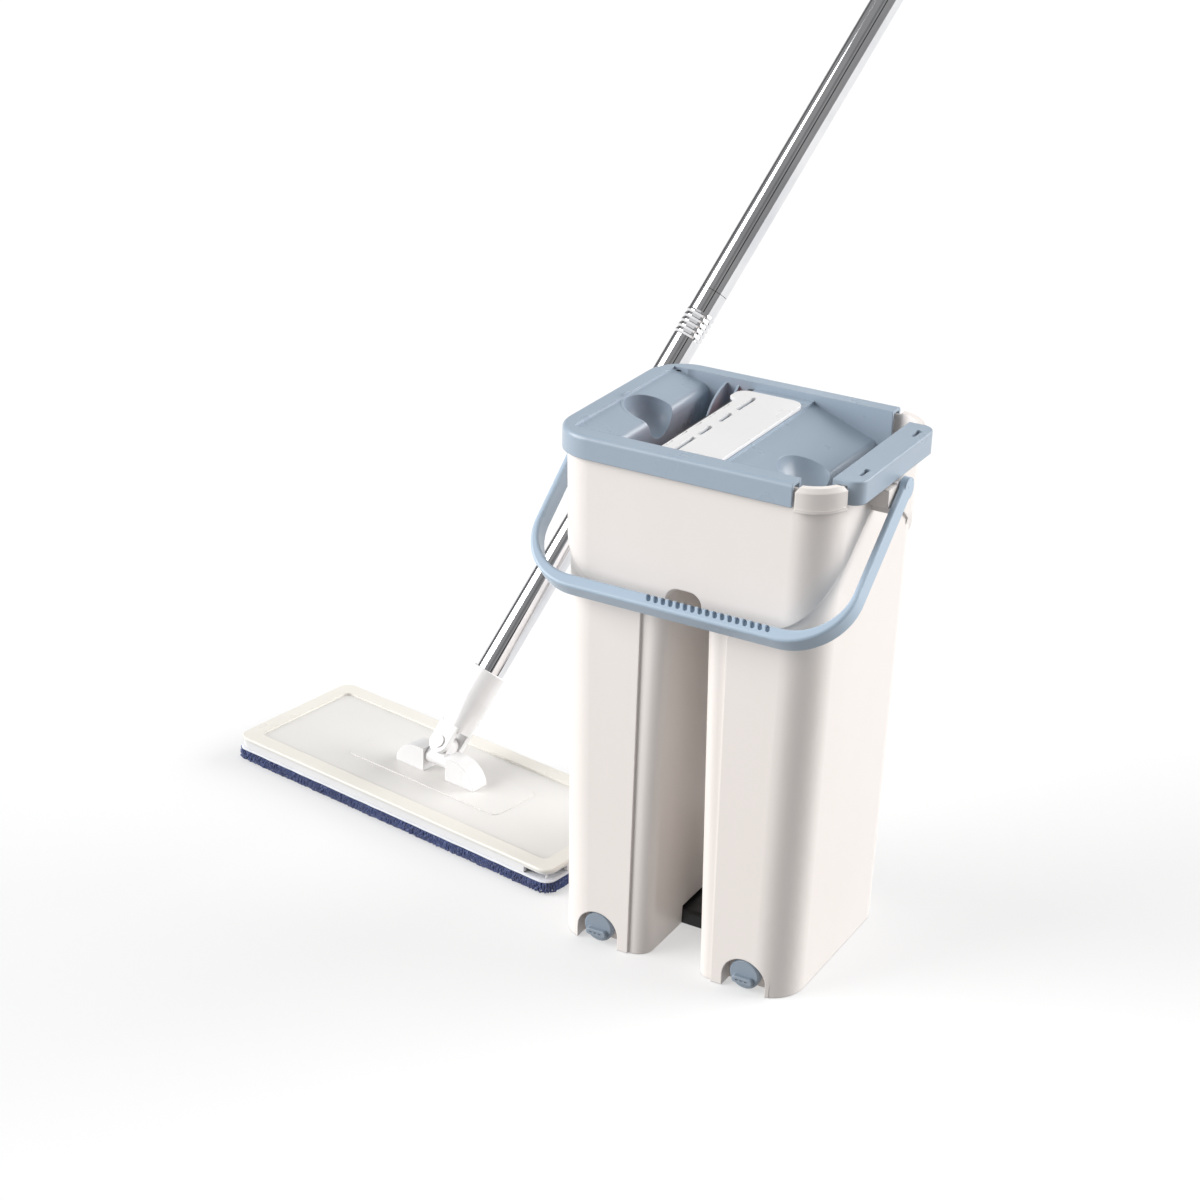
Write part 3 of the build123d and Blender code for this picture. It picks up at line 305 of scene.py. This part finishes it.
MATERIALS = {
    "shell": plastic("shell_plastic", srgb(236, 230, 226), srgb(232, 225, 220), srgb(241, 237, 234),
                     (0.30, 0.40), 0.03, 0.0011),
    "tray": plastic("tray_plastic", srgb(158, 172, 186), srgb(153, 167, 181), srgb(176, 188, 200),
                    (0.26, 0.36), 0.015, 0.0008),
    "bail": plastic("bail_plastic", srgb(172, 190, 207), srgb(168, 186, 203), srgb(184, 200, 214),
                    (0.26, 0.36), 0.015, 0.0008),
    "white": plastic("white_plastic", srgb(226, 225, 225), srgb(222, 221, 221), srgb(234, 233, 233),
                     (0.26, 0.35), 0.02, 0.0006),
    "cream": plastic("rim_plastic", srgb(231, 228, 221), srgb(226, 223, 215), srgb(238, 236, 231),
                     (0.26, 0.36), 0.03, 0.0007),
    "panel": plastic("panel_plastic", srgb(224, 222, 219), srgb(219, 217, 214), srgb(232, 230, 228),
                     (0.34, 0.46), 0.12, 0.0004, 1500.0),
    "knob": plastic("knob_plastic", srgb(142, 153, 166), srgb(134, 147, 160), srgb(164, 174, 184),
                    (0.26, 0.36), 0.04, 0.0005),
    "grip": plastic("grip_plastic", srgb(158, 172, 186), srgb(153, 167, 181), srgb(176, 188, 200),
                    (0.36, 0.46), 0.30, 0.0008, 1300.0),
    "joiner": plastic("joiner_plastic", srgb(70, 71, 74), srgb(58, 59, 62), srgb(96, 97, 100),
                      (0.34, 0.44), 0.12, 0.0004),
    "lip": rubber("lip_silicone", srgb(206, 62, 34), srgb(190, 52, 28)),
    "black_rubber": pedal_material("black_plastic"),
    "chrome": chrome("chrome_plate"),
    "steel": steel("stainless_steel"),
    "hook": hook_tape("hook_tape"),
    "pad": cloth("microfibre_navy", srgb(42, 56, 108), srgb(66, 84, 142), srgb(146, 162, 204),
                 1900.0, 0.55),
    "backing": cloth("backing_white", srgb(226, 228, 232), srgb(214, 217, 224), srgb(240, 241, 244),
                     1500.0, 0.3),
}
SLOT_OF = {part["node"]: part["material_slot"] for part in frame["record"]["subparts"]}
for name, node in nodes.items():
    node.data.materials.clear()
    node.data.materials.append(MATERIALS[SLOT_OF[name]])


def paint(piece, slot):
    """The piece takes this slot's material."""
    piece.data.materials.append(MATERIALS[slot])


# ---------------------------------------------------------------- microfibre pad
PAD_HALF_LENGTH, PAD_HALF_WIDTH, PAD_CORNER = 0.159, 0.063, 0.010
PAD_TOP = pad_high.z
PILE = 0.0028  # how far the loops of yarn stand out round the pad's body
LOOP_CORNER = PAD_CORNER - 0.002
# each row of loops round the side: its height, and how far in from the pad's outline its roots are
SIDE_ROWS = ((0.0027, 0.0032), (0.0045, 0.0030), (0.0063, 0.0030), (0.0079, 0.0034))
UNDER_COLUMNS, UNDER_ROWS = 92, 36
UNDER_MARGIN = 0.006
UNDER_ROOTS = 0.0038  # the height of the lower loops' roots, so that none reaches the floor


def outline(half_length, half_width, radius, step):
    """Points round a rounded rectangle, each with its outward direction, at about this spacing."""
    found = []
    corners = ((1, 1, 0), (-1, 1, 90), (-1, -1, 180), (1, -1, 270))
    for index, (sx, sy, start) in enumerate(corners):
        cx, cy = sx * (half_length - radius), sy * (half_width - radius)
        turns = max(3, round(radius * math.pi / 2 / step))
        for i in range(turns):
            a = math.radians(start + 90 * (i + 0.5) / turns)
            found.append((Vector((cx + radius * math.cos(a), cy + radius * math.sin(a), 0)),
                          Vector((math.cos(a), math.sin(a), 0))))
        nx, ny, _ = corners[(index + 1) % 4]
        a = math.radians(start + 90)
        out = Vector((math.cos(a), math.sin(a), 0))
        begin = Vector((cx, cy, 0)) + radius * out
        end = Vector((nx * (half_length - radius), ny * (half_width - radius), 0)) + radius * out
        count = max(1, round((end - begin).length / step))
        found += [(begin.lerp(end, (i + 0.5) / count), out) for i in range(count)]
    return found


def slab(name, half_length, half_width, radius, profile, wobble):
    """A closed rounded-rectangle body through rings of (inset, height), its side a little uneven."""
    base = outline(half_length, half_width, radius, 0.0035)
    vertices, faces = [], []
    for ring, (inset, height) in enumerate(profile):
        for p, out in base:
            q = p - out * inset
            q.z = height
            shift = wobble * noise.noise(q * 90.0) if 0 < ring < len(profile) - 1 else 0.0
            vertices.append(HEAD @ (q + out * shift))
    n = len(base)
    for ring in range(len(profile) - 1):
        for i in range(n):
            j = (i + 1) % n
            faces.append((ring * n + i, ring * n + j, (ring + 1) * n + j, (ring + 1) * n + i))
    faces.append(tuple(reversed(range(n))))
    faces.append(tuple(range((len(profile) - 1) * n, len(profile) * n)))
    return new_object(name, vertices, faces)


def loops(name, spots, thickness):
    """Short loops of yarn, one at each (root, outward direction, sideways direction, reach)."""
    rng = random.Random(7)
    vertices, faces = [], []
    steps, sides = 7, 4
    for place, out, side, reach in spots:
        twist = Matrix.Rotation(rng.uniform(-0.5, 0.5), 3, out)
        side = twist @ side
        reach *= rng.uniform(0.8, 1.1)
        half = thickness * rng.uniform(0.75, 1.1)
        lean = Vector((rng.uniform(-1, 1), rng.uniform(-1, 1), rng.uniform(-1, 0.3))) * 0.0004
        cross = out.cross(side)
        start = len(vertices)
        for s in range(steps):
            a = math.pi * s / (steps - 1)
            rise, run = math.sin(a), math.cos(a)
            middle = place + out * (reach * rise) + side * (half * run) + lean * rise
            radial = (out * rise + side * run).normalized()
            for k in range(sides):
                b = 2 * math.pi * k / sides
                round_yarn = (radial * math.cos(b) + cross * math.sin(b)) * thickness / 2
                vertices.append(HEAD @ (middle + round_yarn))
        for s in range(steps - 1):
            for k in range(sides):
                a0, a1 = start + s * sides + k, start + s * sides + (k + 1) % sides
                faces.append((a0, a1, a1 + sides, a0 + sides))
    return new_object(name, vertices, faces)


PAD_PROFILE = [
    (0.0060, 0.0022),
    (0.0015, 0.0026),
    (0.0002, 0.0040),
    (0.0, 0.0060),
    (0.0008, PAD_TOP - 0.0008),
    (0.0040, PAD_TOP - 0.0003),
]
pad = slab("microfibre_pad", PAD_HALF_LENGTH - PILE, PAD_HALF_WIDTH - PILE, LOOP_CORNER, PAD_PROFILE, 0.0006)
paint(pad, "pad")
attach(pad, "head")
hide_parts("mop_pad")

side_spots = []
for level, inset in SIDE_ROWS:
    for p, out in outline(PAD_HALF_LENGTH - inset, PAD_HALF_WIDTH - inset, LOOP_CORNER, 0.00155):
        q = p.copy()
        q.z = level
        along = Vector((-out.y, out.x, 0))
        side_spots.append((q, out, (along * 0.35 + Vector((0, 0, 1))).normalized(), 0.0024))
edge_loops = loops("pad_edge_loops", side_spots, 0.0013)
paint(edge_loops, "pad")
child_of(edge_loops, pad)

under_spots = []
for i in range(UNDER_COLUMNS):
    for j in range(UNDER_ROWS):
        x = (2 * i / (UNDER_COLUMNS - 1) - 1) * (PAD_HALF_LENGTH - UNDER_MARGIN)
        y = (2 * j / (UNDER_ROWS - 1) - 1) * (PAD_HALF_WIDTH - UNDER_MARGIN)
        under_spots.append((Vector((x, y, UNDER_ROOTS)), Vector((0, 0, -1)), Vector((1, 0, 0)), 0.0021))
under_loops = loops("pad_under_loops", under_spots, 0.0017)
paint(under_loops, "pad")
child_of(under_loops, pad)

# Knitted backing with its rolled white edge
backing_low, backing_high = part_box("pad_backing")
BACKING_INSET = 0.0015
BACKING_PROFILE = [
    (0.0040, backing_low.z + 0.0002),
    (0.0010, backing_low.z),
    (0.0, backing_low.z + 0.0006),
    (0.0002, backing_low.z + 0.0012),
    (0.0014, backing_high.z),
    (0.0040, backing_high.z - 0.0006),
]
backing = slab("pad_backing_cloth", PAD_HALF_LENGTH - BACKING_INSET, PAD_HALF_WIDTH - BACKING_INSET, 0.009,
               BACKING_PROFILE, 0.0003)
paint(backing, "backing")
child_of(backing, pad)
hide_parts("pad_backing")

# ---------------------------------------------------------------- latch spring: a wire coil under the button
SPRING_OUTER, WIRE, SPRING_TURNS = 0.0034, 0.00035, 5.5
CLOSED_END = 0.09  # the share of the wire that lies flat at each end
press_joint = next(j for j in frame["record"]["behaviour"]["joints"] if j["name"] == "latch_press")
press = Vector(press_joint["axis"])
press.normalize()
spring_low, spring_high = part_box("latch_spring")
spring_middle = (Vector(spring_low) + Vector(spring_high)) / 2
# The CAD spring is a leaning cylinder, so its box is taller than its axis by the lean of its round ends.
half_height = (spring_high.z - spring_low.z) / 2
spring_half = (half_height - SPRING_OUTER * math.sqrt(1 - press.z ** 2)) / abs(press.z)
seat = press.to_track_quat("Z", "Y")


def coil(name, middle, half_length):
    """A closed-ended compression spring of round wire, standing along the button's travel."""
    steps, sides = 150, 8
    path = []
    for i in range(steps + 1):
        t = i / steps
        climb = min(max((t - CLOSED_END) / (1 - 2 * CLOSED_END), 0.0), 1.0)
        turn = 2 * math.pi * SPRING_TURNS * t
        flat = Vector((math.cos(turn), math.sin(turn), 0)) * (SPRING_OUTER - WIRE)
        path.append(flat + Vector((0, 0, (2 * climb - 1) * (half_length - WIRE))))
    vertices, faces = [], []
    for i, p in enumerate(path):
        along = (path[min(i + 1, steps)] - path[max(i - 1, 0)]).normalized()
        out = Vector((p.x, p.y, 0)).normalized()
        side = along.cross(out).normalized()
        for k in range(sides):
            b = 2 * math.pi * k / sides
            vertices.append(middle + seat @ (p + (out * math.cos(b) + side * math.sin(b)) * WIRE))
    for i in range(steps):
        for k in range(sides):
            a0, a1 = i * sides + k, i * sides + (k + 1) % sides
            faces.append((a0, a1, a1 + sides, a0 + sides))
    faces.append(tuple(reversed(range(sides))))
    faces.append(tuple(range(steps * sides, (steps + 1) * sides)))
    return new_object(name, vertices, faces)


spring = coil("latch_coil", spring_middle, spring_half)
paint(spring, "steel")
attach(spring, "pole")
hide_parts("latch_spring")
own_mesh(spring)

# ---------------------------------------------------------------- stage and light
FLOOR_HALF, FLOOR_Z, FLOOR_GLOW = 12.0, -0.0004, 0.48
AMBIENT, BACKDROP = 0.32, 0.97
WHITE = (1.0, 1.0, 1.0, 1.0)
SQUARE = ((-1, -1), (1, -1), (1, 1), (-1, 1))

floor_corners = [(a * FLOOR_HALF, b * FLOOR_HALF, FLOOR_Z) for a, b in SQUARE]
floor = new_object("studio_floor", floor_corners, [(0, 1, 2, 3)])
floor_nodes = Nodes("studio_floor_paint")
floor_nodes.link(
    floor_nodes.blend(floor_nodes.noise(3.0), srgb(178, 178, 178), srgb(176, 176, 176)),
    floor_nodes.shader.inputs["Base Color"],
)
floor_nodes.set(Roughness=0.9, Specular_IOR_Level=0.2, Emission_Color=WHITE, Emission_Strength=FLOOR_GLOW)
floor.data.materials.append(floor_nodes.material)
floor.visible_diffuse = False

# The surroundings are dim white for light and mirrors, and near-white where the camera sees them directly.
world = bpy.data.worlds.new("studio")
bpy.context.scene.world = world
world.use_nodes = True
sky, join = world.node_tree.nodes, world.node_tree.links.new
surround = sky["Background"]
surround.inputs["Color"].default_value = WHITE
surround.inputs["Strength"].default_value = AMBIENT
backdrop = sky.new("ShaderNodeBackground")
backdrop.inputs["Color"].default_value = WHITE
backdrop.inputs["Strength"].default_value = BACKDROP
chooser = sky.new("ShaderNodeMixShader")
join(sky.new("ShaderNodeLightPath").outputs["Is Camera Ray"], chooser.inputs["Fac"])
join(surround.outputs["Background"], chooser.inputs[1])
join(backdrop.outputs["Background"], chooser.inputs[2])
join(chooser.outputs["Shader"], sky["World Output"].inputs["Surface"])


def wide_lamp(name, direction, strength, spread):
    """A large soft lamp far away, shining from a direction."""
    lamp = bpy.data.lights.new(name, "SUN")
    lamp.angle = math.radians(spread)
    lamp.energy = strength
    made = bpy.data.objects.new(name, lamp)
    bpy.context.scene.collection.objects.link(made)
    made.rotation_mode = "QUATERNION"
    made.rotation_quaternion = (-Vector(direction)).to_track_quat("-Z", "Y")


wide_lamp("key_left", (-0.80, -0.58, 0.38), 3.9, 50)
wide_lamp("rim_right", (0.78, 0.66, 0.32), 3.9, 50)
wide_lamp("top", (0.1, 0.2, 1.0), 0.35, 60)


def flag(name, place, aim, along, length, width, shade):
    """A dark card that only mirror-like surfaces see, as a studio hides behind its lamps."""
    forward = (Vector(aim) - Vector(place)).normalized()
    long_side = (Vector(along) - forward * Vector(along).dot(forward)).normalized()
    short_side = forward.cross(long_side)
    p = Vector(place)
    corners = [p + long_side * (a * length / 2) + short_side * (b * width / 2) for a, b in SQUARE]
    made = new_object(name, corners, [(0, 1, 2, 3)])
    card = Nodes(name + "_paint")
    card.set(Base_Color=(shade, shade, shade, 1.0), Roughness=1.0, Specular_IOR_Level=0.0)
    made.data.materials.append(card.material)
    made.visible_camera = made.visible_diffuse = made.visible_shadow = made.visible_transmission = False


TUBE_MIDDLE = Vector((-0.16, 0.27, 0.36))
TO_CAMERA = (CAMERA_PLACE - TUBE_MIDDLE).normalized()
ACROSS = POLE_AXIS.cross(TO_CAMERA).normalized()
FLAG_DISTANCE, FLAG_LENGTH = 2.6, 5.0
# each flag's name, its angle round the tube from the camera in degrees, its width and its shade
FLAGS = (
    ("flag_black", 7.0, 0.34, 0.0),
    ("flag_grey", -16.0, 0.75, 0.30),
    ("flag_line", 44.0, 0.14, 0.25),
    ("flag_side", 118.0, 0.90, 0.20),
    ("flag_back", 172.0, 0.60, 0.04),
    ("flag_edge", -125.0, 0.80, 0.12),
)
for name, turn, width, shade in FLAGS:
    a = math.radians(turn)
    place = TUBE_MIDDLE + (TO_CAMERA * math.cos(a) + ACROSS * math.sin(a)) * FLAG_DISTANCE
    flag(name, place, TUBE_MIDDLE, POLE_AXIS, FLAG_LENGTH, width, shade)
